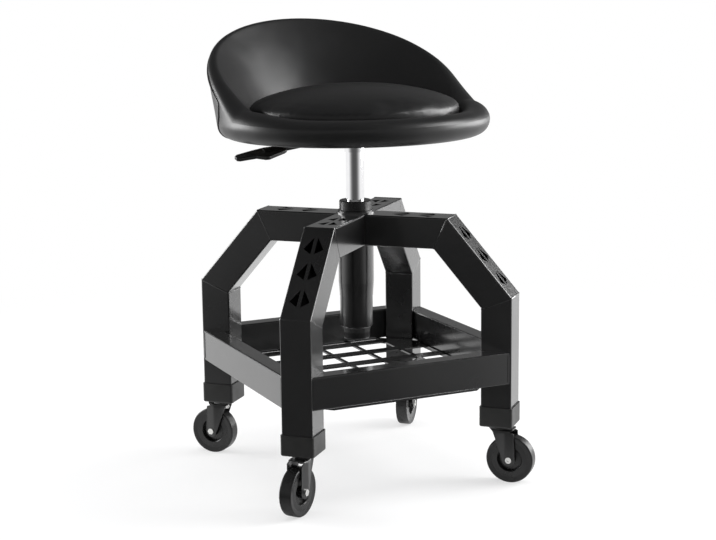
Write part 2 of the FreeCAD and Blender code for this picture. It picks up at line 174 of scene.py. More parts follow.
class Graph:
    """A node tree of a material or of the world."""

    def __init__(self, tree: NodeTree) -> None:
        """Works on one node tree."""
        self.tree = tree

    @classmethod
    def of_material(cls, name: str) -> tuple["Graph", Material]:
        """Makes a node material.

        Args:
            name: its name.

        Returns:
            Its graph, and the material.
        """
        material = bpy.data.materials.new(name)
        material.use_nodes = True
        return cls(material.node_tree), material

    def node(
        self,
        kind: str,
        inputs: Sequence["Wire | float | Sequence[float] | None"] | dict = (),
        output: int | str = 0,
        **settings: object,
    ) -> Wire:
        """Adds a node and wires or sets its inputs.

        Args:
            kind: the node's type name.
            inputs: values in socket order, None to leave one alone, or a dict by socket name.
            output: which output to hand back.
            settings: properties of the node.

        Returns:
            The chosen output as a Wire.
        """
        made = self.tree.nodes.new(kind)
        for key, value in settings.items():
            setattr(made, key, value)
        pairs = inputs.items() if isinstance(inputs, dict) else enumerate(inputs)
        for key, value in pairs:
            if value is not None:
                self.join(made.inputs[key], value)
        return Wire(self, made.outputs[output])

    def join(self, socket: NodeSocket, value: "Wire | float | Sequence[float]") -> None:
        """Links a Wire to a socket, or sets a constant on it.

        Args:
            socket: the input socket.
            value: a Wire, or a constant of the socket's kind.
        """
        if isinstance(value, Wire):
            self.tree.links.new(value.socket, socket)
        else:
            socket.default_value = value

    def split(self, vector: Wire) -> tuple[Wire, ...]:
        """The X, Y and Z of a vector."""
        return tuple(self.node("ShaderNodeSeparateXYZ", [vector], output=axis) for axis in "XYZ")

    def rays(self) -> tuple[Wire, Wire]:
        """Tells the rays apart.

        Returns:
            1 for the camera's own rays, also through glass, and 1 for mirrored rays.
        """
        names = ("Is Camera Ray", "Is Transmission Ray", "Is Glossy Ray")
        camera, clear, glossy = (self.node("ShaderNodeLightPath", output=name) for name in names)
        return camera.larger(clear), glossy

    def show(self, kind: str, shader: Wire) -> None:
        """Ends the tree in an output node."""
        self.join(self.tree.nodes.new(kind).inputs["Surface"], shader)

    def place(self, scale: Triple = (1.0, 1.0, 1.0)) -> Wire:
        """Object coordinates, stretched by scale.

        Args:
            scale: factors along X, Y and Z.

        Returns:
            The coordinates.
        """
        where = self.node("ShaderNodeTexCoord", output="Object")
        if scale == (1.0, 1.0, 1.0):
            return where
        return self.node("ShaderNodeVectorMath", [where, scale], operation="MULTIPLY")

    def noise(self, scale: float, detail: float, stretch: Triple = (1.0, 1.0, 1.0)) -> Wire:
        """Noise of the given scale in Object coordinates."""
        inputs = {"Vector": self.place(stretch), "Scale": scale, "Detail": detail}
        return self.node("ShaderNodeTexNoise", inputs, "Fac")

    def cells(self, scale: float) -> Wire:
        """Distance to the nearest cell border, for leather grain."""
        inputs = {"Vector": self.place(), "Scale": scale}
        return self.node("ShaderNodeTexVoronoi", inputs, "Distance", feature="DISTANCE_TO_EDGE")

    def mix(self, factor: Wire, first: Triple, second: Triple) -> Wire:
        """Blends two colours."""
        inputs = {0: factor, 6: (*first, 1.0), 7: (*second, 1.0)}
        return self.node("ShaderNodeMix", inputs, 2, data_type="RGBA")

    def blend(self, factor: Wire, first: Wire, second: Wire) -> Wire:
        """Blends two shaders."""
        return self.node("ShaderNodeMixShader", [factor, first, second])

    def bump(self, height: Wire, depth: float, strength: float, base: Wire | None = None) -> Wire:
        """Adds a bump.

        Args:
            height: its pattern, from 0 to 1.
            depth: its depth in metres.
            strength: how much of it shows.
            base: the normal of a bump below it.

        Returns:
            The normal.
        """
        sockets = {"Height": height, "Distance": depth, "Strength": strength}
        if base is not None:
            sockets["Normal"] = base
        return self.node("ShaderNodeBump", sockets)


@dataclass(frozen=True)
class Finish:
    """How a surface looks.

    The base colour and roughness vary a little over the surface; the rest is constant.
    """

    name: str
    pattern: Pattern
    color: Triple
    roughness: float
    metallic: float = 0.0
    coat: float = 0.0
    coat_roughness: float = 0.1
    ior: float = 1.5
    spread: float = 0.06
    sheen: float = 0.0
    sheen_roughness: float = 0.4

    def build(self) -> Material:
        """Makes the material.

        Returns:
            The node material.
        """
        graph, material = Graph.of_material(self.name)
        shader = next(n for n in graph.tree.nodes if n.type == "BSDF_PRINCIPLED").inputs
        color, rough, normal = self._surface(graph)
        sockets = {
            "Base Color": color, "Roughness": rough, "Normal": normal, "Metallic": self.metallic,
            "IOR": self.ior, "Coat Weight": self.coat, "Coat Roughness": self.coat_roughness,
        }
        if self.sheen:
            sockets |= {"Sheen Weight": self.sheen, "Sheen Roughness": self.sheen_roughness}
        for name, value in sockets.items():
            graph.join(shader[name], value)
        material.diffuse_color = (*self.color, 1.0)
        material.metallic = self.metallic
        material.roughness = self.roughness
        return material

    def _surface(self, graph: Graph) -> tuple[Wire, Wire, Wire]:
        """Draws the pattern.

        Args:
            graph: the material's graph.

        Returns:
            Base colour, roughness and normal.
        """
        grain = self.pattern.value
        if grain.fine:
            cloud = graph.noise(*grain.cloud)
            fine = graph.noise(*grain.fine, grain.stretch)
        else:
            cloud = fine = graph.noise(*grain.cloud, grain.stretch)
        shade, base = cloud, None
        if self.pattern is Pattern.LEATHER:
            cells = graph.cells(900.0).ramp(0.0, 0.25)
            shade = cloud * 0.7 + cells * 0.3
            fine = cells * 0.7 + fine * 0.3
            base = graph.bump(graph.noise(28.0, 3.0), 0.0006, 0.2)
        dark, light = (tuple(min(1.0, c * share) for c in self.color) for share in grain.shades)
        rough = cloud.ramp(0.2, 0.8, self.roughness - self.spread, self.roughness + self.spread)
        return graph.mix(shade, dark, light), rough, graph.bump(fine, grain.depth, grain.strength, base)


FINISHES = {
    "frame_black": Finish(
        "powder_black", Pattern.POWDER, (0.0062, 0.0062, 0.0064), 0.3, coat=1.0, coat_roughness=0.13
    ),
    "cap_black": Finish("cap_plastic", Pattern.MOULDED, (0.018, 0.0182, 0.0175), 0.38, spread=0.08),
    "fork_black": Finish(
        "fork_paint", Pattern.POWDER, (0.008, 0.008, 0.008), 0.3, coat=0.5, coat_roughness=0.2
    ),
    "zinc": Finish("bright_zinc", Pattern.METAL, (0.82, 0.82, 0.8), 0.25, metallic=1.0),
    "wheel_core": Finish("wheel_plastic", Pattern.MOULDED, (0.0085, 0.0085, 0.0085), 0.28),
    "tyre": Finish("tyre_rubber", Pattern.RUBBER, (0.0065, 0.0065, 0.0065), 0.3),
    "column_black": Finish(
        "column_paint", Pattern.POWDER, (0.006, 0.006, 0.0062), 0.3, coat=0.6, coat_roughness=0.18
    ),
    "collar": Finish("collar_plastic", Pattern.MOULDED, (0.009, 0.009, 0.009), 0.28),
    "chrome": Finish("tube_chrome", Pattern.METAL, (0.9, 0.9, 0.91), 0.05, metallic=1.0, spread=0.015),
    "bearing_steel": Finish("bearing_steel", Pattern.METAL, (0.6, 0.6, 0.61), 0.22, metallic=1.0),
    "bush": Finish("bush_nylon", Pattern.MOULDED, (0.6, 0.59, 0.55), 0.5),
    "plate_black": Finish(
        "plate_paint", Pattern.POWDER, (0.009, 0.009, 0.009), 0.32, coat=0.4, coat_roughness=0.2
    ),
    "grip": Finish("grip_plastic", Pattern.MOULDED, (0.010, 0.010, 0.010), 0.34),
    # Painted shade: the plywood is darkened so that the seat board, which the lever mirrors through the gap
    # above it, reads as shaded.
    "board": Finish("dark_plywood_painted_shade", Pattern.WOOD, (0.035, 0.025, 0.017), 0.7),
    "upholstery": Finish("seat_leather", Pattern.LEATHER, (0.0075, 0.0075, 0.0077), 0.4, spread=0.03),
    "dust_cover": Finish("dust_cover", Pattern.FELT, (0.016, 0.016, 0.016), 0.9, sheen=0.1),
    "stitch": Finish("seat_thread", Pattern.THREAD, (0.012, 0.012, 0.012), 0.6),
}


class Palette:
    """Builds each material once and dresses objects with it."""

    def __init__(self) -> None:
        """Starts with no material made."""
        self._made: dict[str, Material] = {}

    def get(self, key: str) -> Material:
        """The material of a finish, made on first use."""
        if key not in self._made:
            self._made[key] = FINISHES[key].build()
        return self._made[key]

    def dress(self, obj: Object, key: str) -> None:
        """Gives an object one finish on all its slots.

        Args:
            obj: the object.
            key: the finish, as FINISHES names it.
        """
        slots = obj.material_slots
        if not slots:
            obj.data.materials.append(self.get(key))
        for slot in slots:
            slot.material = self.get(key)

    def settle(
        self,
        obj: Object,
        body: str,
        slot: str,
        nodes: Iterable[str] = (),
        finish: str | None = None,
    ) -> None:
        """Dresses a new piece and ties it to the model.

        Args:
            obj: the piece.
            body: the CAD body that it moves with.
            slot: the record's material slot that it takes its finish from.
            nodes: the CAD nodes that it stands for.
            finish: another finish than the slot's own.
        """
        self.dress(obj, finish or slot)
        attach(obj, body)
        names = tuple(nodes)
        if names:
            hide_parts(*names)
        LOG.info("%s: %d faces, on %s", obj.name, len(obj.data.polygons), body)


class Shape:
    """A mesh in the making, in millimetres about the column."""

    def __init__(self) -> None:
        """Starts empty."""
        self.bm = bmesh.new()

    def wire(self, points: Iterable[Vector]) -> list[bmesh.types.BMEdge]:
        """Adds points joined into an open line."""
        verts = [self.bm.verts.new(p) for p in points]
        return [self.bm.edges.new(pair) for pair in zip(verts, verts[1:])]

    def spin(self, profile: Sequence[Point], steps: int, start: float = 0.0, turn: float = 360.0) -> None:
        """Turns a line of (radius, height) points round the Z axis into the seat's oval.

        Args:
            profile: points of the line; ends at radius 0 are closed.
            steps: divisions round the axis.
            start: azimuth at which it starts, in degrees.
            turn: how far it goes, in degrees; the ends of less than a full turn are filled.
        """
        a = math.radians(start)
        edges = self.wire(Vector((r * math.cos(a), r * math.sin(a), z)) for r, z in profile)
        geom = list({v for e in edges for v in e.verts}) + edges
        whole = turn > 359.9
        bmesh.ops.spin(
            self.bm, geom=geom, axis=(0.0, 0.0, 1.0), angle=math.radians(turn), steps=steps, use_merge=whole
        )
        bmesh.ops.remove_doubles(self.bm, verts=self.bm.verts[:], dist=0.001)
        if not whole:
            bmesh.ops.holes_fill(self.bm, edges=self.bm.edges[:], sides=0)
        squeeze = Matrix.Diagonal((1.0, OVAL, 1.0, 1.0))
        bmesh.ops.transform(self.bm, matrix=squeeze, verts=self.bm.verts[:])

    def torus(self, middle: float, tube: float, across: int, around: int) -> None:
        """A ring of round section about the Z axis.

        Args:
            middle: radius of the ring's middle line.
            tube: radius of its section.
            across: divisions of the section.
            around: divisions of the ring.
        """
        stand = Matrix.Translation((middle, 0.0, 0.0)) @ Matrix.Rotation(math.pi / 2, 4, "X")
        bmesh.ops.create_circle(self.bm, segments=across, radius=tube, matrix=stand)
        geom = self.bm.verts[:] + self.bm.edges[:]
        bmesh.ops.spin(
            self.bm, geom=geom, axis=(0.0, 0.0, 1.0), angle=math.tau, steps=around, use_merge=True
        )

    def cord(self, path: Sequence[tuple[Vector, Vector]], radius: float, sides: int = 8) -> None:
        """A closed round cord.

        Args:
            path: points of the loop, each with a normal.
            radius: the cord's radius.
            sides: divisions of its section.
        """
        count = len(path)
        bmesh.ops.create_grid(self.bm, x_segments=count, y_segments=sides, size=0.5)
        for vert in self.bm.verts:
            step = round((vert.co.x + 0.5) * count) % count
            turn = (vert.co.y + 0.5) * math.tau
            place, normal = path[step]
            along = path[(step + 1) % count][0] - path[step - 1][0]
            side = along.cross(normal).normalized()
            vert.co = place + normal * (math.cos(turn) * radius) + side * (math.sin(turn) * radius)
        bmesh.ops.remove_doubles(self.bm, verts=self.bm.verts[:], dist=0.01)

    def block(self, size: Triple, matrix: Matrix, corner: float, along: int) -> None:
        """A box with bevelled edges.

        Args:
            size: its length along X, Y and Z.
            matrix: where it goes.
            corner: bevel of the edges that run along one axis.
            along: that axis.
        """
        made = bmesh.ops.create_cube(self.bm, size=1.0)["verts"]
        bmesh.ops.transform(self.bm, matrix=Matrix.Diagonal((*size, 1.0)), verts=made)
        edges = {e for v in made for e in v.link_edges}
        kept = [e for e in edges if abs((e.verts[0].co - e.verts[1].co)[along]) > 1e-6]
        out = bmesh.ops.bevel(
            self.bm, geom=kept, offset=corner, offset_type="OFFSET", segments=2, profile=0.5,
            affect="EDGES", material=-1,
        )
        made = list({v for f in out["faces"] for v in f.verts} | {v for v in made if v.is_valid})
        bmesh.ops.transform(self.bm, matrix=matrix, verts=made)

    def finish(self, name: str, offset: float = COLUMN_Y, sharp: float | None = None) -> Object:
        """Makes the object in metres.

        Args:
            name: the object's name.
            offset: distance along Y from the drawing's origin, in millimetres.
            sharp: edges with a larger angle than this, in degrees, stay sharp.

        Returns:
            The new object at the origin.
        """
        bmesh.ops.recalc_face_normals(self.bm, faces=self.bm.faces[:])
        to_metres = Matrix.Scale(MM, 4) @ Matrix.Translation((0.0, offset, 0.0))
        bmesh.ops.transform(self.bm, matrix=to_metres, verts=self.bm.verts[:])
        mesh = bpy.data.meshes.new(name)
        self.bm.to_mesh(mesh)
        self.bm.free()
        mesh.shade_smooth()
        if sharp is not None:
            mesh.set_sharp_from_angle(angle=math.radians(sharp))
        obj = bpy.data.objects.new(name, mesh)
        bpy.context.scene.collection.objects.link(obj)
        return obj


def subdivide(obj: Object) -> None:
    """Adds a subdivision surface that divides once, in the view and in the render."""
    modifier = obj.modifiers.new("subdivision", "SUBSURF")
    modifier.levels = modifier.render_levels = 1


def round_edges(obj: Object, width: float, degrees: float) -> None:
    """Adds a bevel to an object's sharp edges.

    Args:
        obj: the object.
        width: the bevel's width in millimetres.
        degrees: edges with a larger angle than this get it.
    """
    modifier = obj.modifiers.new("edges", "BEVEL")
    modifier.width = width * MM
    modifier.segments = 2
    modifier.limit_method = "ANGLE"
    modifier.angle_limit = math.radians(degrees)
    modifier.harden_normals = False


def arc(center: Point, radius: float, start: float, end: float, count: int) -> list[Point]:
    """Points on an arc between two angles in degrees, both ends included."""
    turns = [math.radians(start + (end - start) * n / (count - 1)) for n in range(count)]
    return [(center[0] + radius * math.cos(a), center[1] + radius * math.sin(a)) for a in turns]


def line(a: Point, b: Point, count: int) -> list[Point]:
    """Points between a and b, without the ends."""
    return [
        (a[0] + (b[0] - a[0]) * n / (count + 1), a[1] + (b[1] - a[1]) * n / (count + 1))
        for n in range(1, count + 1)
    ]


@dataclass
class Upholstery:
    """The padded seat: bolster with backrest, cushion, rear cover, seams and dust cover.

    cover_span counts points of the section from its lowest. Azimuths are in degrees.
    """

    palette: Palette
    around: int = 192
    cover_limit: float = 80.0
    cover_slant: float = 8.0
    cover_span: tuple[int, int] = (2, 20)
    cord_r: float = 1.1
    cushion_r: float = INNER_R - 0.5
    cushion_low: float = 533.2
    shoulder_z: float = 565.5
    shoulder_r: float = 9.0
    crown_z: float = 599.5
    voxel: float = 5.0
    pressure: float = 4.0
    frames: int = 20
    swell: float = 3.0
    fixed_below: float = 545.0
    smooth_above: float = 571.0
    smoothing: int = 4
    staple_r: float = 171.0
    lever_gap: Point = (168.0, 194.0)
    front_drop: float = 0.34
    slim_tip: float = 6.0
    full_tip: float = 6.2

    def build(self) -> None:
        settle = self.palette.settle
        shell = self._shell()
        settle(shell, "seat", "upholstery", ("seat_rim", "backrest"))
        cushion = self._cushion()
        settle(cushion, "seat", "upholstery", ("seat_pad",))
        settle(self._cover(), "seat", "upholstery", ("back_panel",))
        settle(self._welt(), "seat", "upholstery")
        settle(self._stitches(), "seat", "upholstery", finish="stitch")
        settle(self._dust_cover(), "seat", "upholstery", finish="dust_cover")
        settle(self._staples(), "seat", "zinc")

    @staticmethod
    def _height(phi: float) -> float:
        """Height of the backrest's edge at an azimuth from its middle, as a share of its rise."""
        return math.cos(math.radians(min(abs(phi) / BACK_SPAN, 1.0) * 90.0)) ** 1.06

    def _frame(self, phi: float) -> tuple[Point, float, float, float]:
        """The round tip of the section at one azimuth.

        The tip is drawn as thick as full_tip says. It stays inside the outer face that the slimmer
        tip would give.

        Args:
            phi: the azimuth.

        Returns:
            Tip centre, tip radius, and the angles where the outer and inner faces touch it.
        """
        k = max(self._height(phi), 0.003)
        lean = BACK_LEAN + 5.2 * math.cos(math.radians(phi)) ** 2
        shrink = min(1.0, k / 0.35)
        shrink = shrink * (2.0 - shrink)
        slim = RIM_ROUND - (RIM_ROUND - self.slim_tip - 3.5 * (1.0 - k)) * shrink
        tip_round = self.full_tip + (RIM_ROUND - self.full_tip) * (1.0 - k) ** 2.2
        length = math.hypot(lean, BACK_RISE)
        along, across = lean / length, BACK_RISE / length
        extra = max(0.0, tip_round - slim)
        span = length * k - extra
        step = (along * span - across * extra, across * span + along * extra)
        tip = (RIM_R + step[0], RIM_Z + step[1])
        direction = math.degrees(math.atan2(step[1], step[0]))
        opening = math.degrees(math.acos(min(0.95, (RIM_ROUND - tip_round) / math.hypot(*step))))
        return tip, tip_round, direction - opening, direction + opening

    def _section(self, phi: float) -> list[Point]:
        """Outline of the bolster and backrest at one azimuth.

        Args:
            phi: the azimuth.

        Returns:
            Points of (radius, height), from the bottom outwards and round.
        """
        tip, tip_round, low, high = self._frame(phi)
        k = self._height(phi)
        inner = min(high, FOLD_ANGLE)
        center = (RIM_R, RIM_Z)
        outer_arc = arc(center, RIM_ROUND, -90.0, low, 11)
        tip_arc = arc(tip, tip_round, low, high, 11)
        inner_arc = arc(center, RIM_ROUND, inner, FOLD_ANGLE, 4)
        outer_line = line(outer_arc[-1], tip_arc[0], 9)
        inner_line = []
        for n, (r, z) in enumerate(line(tip_arc[-1], inner_arc[0], 13)):
            swell = math.sin(math.pi * (n + 1) / 14.0) * 3.5 * k
            inner_line.append((r - swell * 0.9, z + swell * 0.4))
        wall = [(165.2, 558.8), (164.4, 555.0), (164.1, 548.0), (164.1, 536.0), (164.4, 527.0)]
        bottom = [(166.0, 524.5), (169.0, 524.1), (176.0, 524.1)]
        whole = outer_arc + outer_line + tip_arc + inner_line + inner_arc + wall + bottom
        low_crest = self._ease((abs(phi) - 97.0) / 40.0) * self.front_drop
        return [(r, z - max(0.0, z - RIM_Z) * low_crest) for r, z in whole]

    @staticmethod
    def _ease(t: float) -> float:
        """Smooth step from 0 to 1."""
        t = min(max(t, 0.0), 1.0)
        return t * t * (3.0 - 2.0 * t)

    @staticmethod
    def _place(phi: float, point: Point) -> Vector:
        """Where a point of the section at an azimuth lies."""
        a = math.radians(phi)
        return Vector((-math.sin(a) * point[0], math.cos(a) * point[0] * OVAL, point[1]))

    def _shell(self) -> Object:
        """A ring whose sections are moved onto the bolster's and backrest's outline.

        Returns:
            The shell.
        """
        across = len(self._section(0.0))
        ring = 100.0
        shape = Shape()
        shape.torus(ring, 10.0, across, self.around)
        sections: dict[int, list[Point]] = {}
        for vert in shape.bm.verts:
            x, y, z = vert.co
            station = round(math.degrees(math.atan2(-x, y)) * self.around / 360.0) % self.around
            turn = math.atan2(z, math.hypot(x, y) - ring) / math.tau
            phi = station * 360.0 / self.around
            phi = phi - 360.0 if phi > 180.0 else phi
            if station not in sections:
                sections[station] = self._section(phi)
            place = self._place(phi, sections[station][round(turn * across) % across])
            ripple = noise.noise(place * 0.035) * 0.5 + noise.noise(place * 0.011) * 0.8
            outward = Vector((place.x, place.y, 0.0)).normalized()
            inside = 1.0 if math.hypot(place.x, place.y / OVAL) > 168.0 else 0.0
            vert.co = place + outward * ripple * inside
        obj = shape.finish("seat_shell", offset=SEAT_Y)
        subdivide(obj)
        return obj

    def _cushion_profile(self) -> list[Point]:
        """Outline of the cushion before it swells.

        Returns:
            Points of (radius, height), from the middle of its underside to its crown.
        """
        edge, low = self.cushion_r, self.cushion_low
        profile = [(0.0, low), (60.0, low), (120.0, low), (156.0, 533.4), (161.0, 534.6), (edge, 538.0)]
        profile += [(edge, 546.0), (edge, 554.0), (edge, 561.0)]
        profile += arc((edge - self.shoulder_r, self.shoulder_z), self.shoulder_r, 6.0, 70.0, 8)
        top = profile[-1]
        crown = self.crown_z + 0.0
        for n in range(1, 17):
            r = top[0] * (1.0 - n / 16.0)
            z = crown - (crown - top[1]) * (r / top[0]) ** 2.3
            profile.append((r, z))
        return profile

    def _cushion(self) -> Object:
        """The cushion, swollen by a cloth simulation.

        Returns:
            The cushion.
        """
        shape = Shape()
        shape.spin(self._cushion_profile(), 144)
        obj = shape.finish("seat_cushion", offset=SEAT_Y)
        self._inflate(obj)
        subdivide(obj)
        return obj

    def _inflate(self, obj: Object) -> None:
        """Lets the cushion swell as a pressurised cloth, within a few millimetres of its form.

        Args:
            obj: the cushion.
        """
        remesh = obj.modifiers.new("remesh", "REMESH")
        remesh.mode = "VOXEL"
        remesh.voxel_size = self.voxel * MM
        apply_modifiers(obj)
        start = [v.co.copy() for v in obj.data.vertices]
        cloth = obj.modifiers.new("cloth", "CLOTH")
        cloth.settings.use_pressure = True
        cloth.settings.uniform_pressure_force = self.pressure
        cloth.settings.effector_weights.gravity = 0.0
        cloth.settings.quality = 4
        scene = bpy.context.scene
        for step in range(1, self.frames + 1):
            scene.frame_set(step)
        apply_modifiers(obj)
        scene.frame_set(1)
        edge = self.cushion_r * MM
        for vert, home in zip(obj.data.vertices, start):
            move = vert.co - home
            if move.length > self.swell * MM:
                move = move.normalized() * self.swell * MM
            spot = home + move * (0.0 if home.z < self.fixed_below * MM else 1.0)
            reach = math.hypot(spot.x, (spot.y - SEAT_Y * MM) / OVAL)
            if reach > edge:
                spot.x *= edge / reach
                spot.y = SEAT_Y * MM + (spot.y - SEAT_Y * MM) * edge / reach
            vert.co = spot
        bm = bmesh.new()
        bm.from_mesh(obj.data)
        upper = [v for v in bm.verts if v.co.z > self.smooth_above * MM]
        for _ in range(self.smoothing):
            bmesh.ops.smooth_vert(
                bm, verts=upper, factor=0.5, use_axis_x=True, use_axis_y=True, use_axis_z=True
            )
        bm.to_mesh(obj.data)
        bm.free()
        obj.data.shade_smooth()

    def _limit(self, index: int) -> float:
        """How far round the rear cover reaches at one place of the section, in degrees."""
        low, high = self.cover_span
        return self.cover_limit - self.cover_slant * max(0.0, 1.0 - 1.6 * (index - low) / (high - low))

    def _row(self, index: int, count: int) -> list[tuple[Vector, Vector]]:
        """Points and outward normals along the rear cover, at one place of the section."""
        limit = self._limit(index)
        return [self._on_outer(limit * (2.0 * n / (count - 1) - 1.0), index) for n in range(count)]

    def _on_outer(self, phi: float, index: int) -> tuple[Vector, Vector]:
        """A point of the shell's outer face.

        Args:
            phi: the azimuth.
            index: the place in the section.

        Returns:
            The point and its outward normal.
        """
        section = self._section(phi)
        here = self._place(phi, section[index])
        along = self._place(phi, section[index + 1]) - self._place(phi, section[index - 1])
        beside = self._place(phi + 0.5, self._section(phi + 0.5)[index]) - here
        normal = beside.cross(along).normalized()
        if normal.dot(Vector((here.x, here.y, 0.0))) < 0.0:
            normal = -normal
        return here, normal

    def _cover(self) -> Object:
        """A thin panel laid on the outer face of the backrest.

        Returns:
            The cover.
        """
        low, high = self.cover_span
        rows, columns = high - low, 120
        shape = Shape()
        bmesh.ops.create_grid(shape.bm, x_segments=columns, y_segments=rows, size=0.5)
        for vert in shape.bm.verts:
            index = low + round((vert.co.y + 0.5) * rows)
            place, normal = self._on_outer(vert.co.x * 2.0 * self._limit(index), index)
            edge = min(1.0, (1.0 - abs(vert.co.x) * 2.0) * 12.0, (0.5 - abs(vert.co.y)) * 6.0)
            vert.co = place + normal * (0.3 + 1.1 * math.sqrt(max(edge, 0.0)))
        bmesh.ops.recalc_face_normals(shape.bm, faces=shape.bm.faces[:])
        faces = shape.bm.faces[:]
        middle = faces[0].calc_center_median()
        if faces[0].normal.dot(Vector((middle.x, middle.y, 0.0))) < 0.0:
            bmesh.ops.reverse_faces(shape.bm, faces=faces)
        bmesh.ops.solidify(shape.bm, geom=faces, thickness=1.4)
        obj = shape.finish("back_cover", offset=SEAT_Y)
        subdivide(obj)
        return obj

    def _welt(self) -> Object:
        """The cord sewn round the edge of the rear cover.

        Returns:
            The cord.
        """
        low, high = self.cover_span
        path = self._row(low, 120)
        path += [self._on_outer(self._limit(n), n) for n in range(low + 1, high)]
        path += self._row(high, 160)[::-1]
        path += [self._on_outer(-self._limit(n), n) for n in range(high - 1, low, -1)]
        shape = Shape()
        shape.cord([(place + normal * 0.8, normal) for place, normal in path], self.cord_r)
        return shape.finish("cover_welt", offset=SEAT_Y)

    def _stitches(self) -> Object:
        """Rows of stitches beside the edges of the rear cover.

        Returns:
            All stitches as one piece.
        """
        shape = Shape()
        low, high = self.cover_span
        for index, count in ((high + 1, 150), (low - 1, 130)):
            path = self._row(index, count)
            for (a, n), (b, _) in zip(path, path[1:]):
                self._stitch(shape, a, b, n)
        for side in (-1.0, 1.0):
            for index in range(low, high):
                a, n = self._on_outer(side * (self._limit(index) + 1.4), index)
                b, _ = self._on_outer(side * (self._limit(index + 1) + 1.4), index + 1)
                if (b - a).length > 7.0:
                    middle = (a + b) / 2.0
                    self._stitch(shape, a, middle, n)
                    a = middle
                self._stitch(shape, a, b, n)
        return shape.finish("seat_stitches", offset=SEAT_Y)

    @staticmethod
    def _stitch(shape: Shape, a: Vector, b: Vector, normal: Vector) -> None:
        """Adds one stitch in the middle of a step.

        Args:
            shape: the stitches so far.
            a: the step's start.
            b: its end.
            normal: outward normal of the fabric.
        """
        along = b - a
        length = along.length
        if length < 0.5:
            return
        turn = along.to_track_quat("X", "Z").to_matrix().to_4x4()
        size = Matrix.Diagonal((min(length * 0.36, 1.7), 0.45, 0.4, 1.0))
        where = Matrix.Translation((a + b) / 2.0 + normal * 0.25) @ turn @ size
        bmesh.ops.create_uvsphere(shape.bm, u_segments=6, v_segments=4, radius=1.0, matrix=where)

    def _dust_cover(self) -> Object:
        """A thin black cloth under the seat board, open round the mechanism plate and above the lever.

        Returns:
            The cloth.
        """
        shape = Shape()
        inner, outer, top, low = 108.0, 176.5, 523.8, 523.2
        profile = [(inner, top), (inner, low), (140.0, 522.9), (outer, low), (outer, top), (inner, top)]
        first, last = self.lever_gap
        shape.spin(profile, 96, last, 360.0 + first - last)
        return shape.finish("dust_cover", offset=SEAT_Y, sharp=40.0)

    def _staples(self) -> Object:
        """Staples through the dust cover, a little askew, with none above the lever.

        Returns:
            All staples as one piece.
        """
        shape = Shape()
        first, last = self.lever_gap
        for n in range(36):
            azimuth = n * 10.0 + 3.0
            if first - 2.0 < azimuth < last + 2.0:
                continue
            a = math.radians(azimuth)
            spot = (math.cos(a) * self.staple_r, math.sin(a) * self.staple_r * OVAL, 522.9)
            where = Matrix.Translation(spot)
            turn = Matrix.Rotation(a + math.pi / 2 + 0.3 * math.sin(n * 2.1), 4, "Z")
            shape.block((9.0, 1.2, 0.6), where @ turn, 0.15, 0)
        return shape.finish("cover_staples", offset=SEAT_Y, sharp=40.0)


def apply_modifiers(obj: Object) -> None:
    """Bakes the modifiers of an object into its mesh.

    Args:
        obj: the object.
    """
    graph = bpy.context.evaluated_depsgraph_get()
    mesh = bpy.data.meshes.new_from_object(obj.evaluated_get(graph))
    old = obj.data
    obj.modifiers.clear()
    obj.data = mesh
    bpy.data.meshes.remove(old)


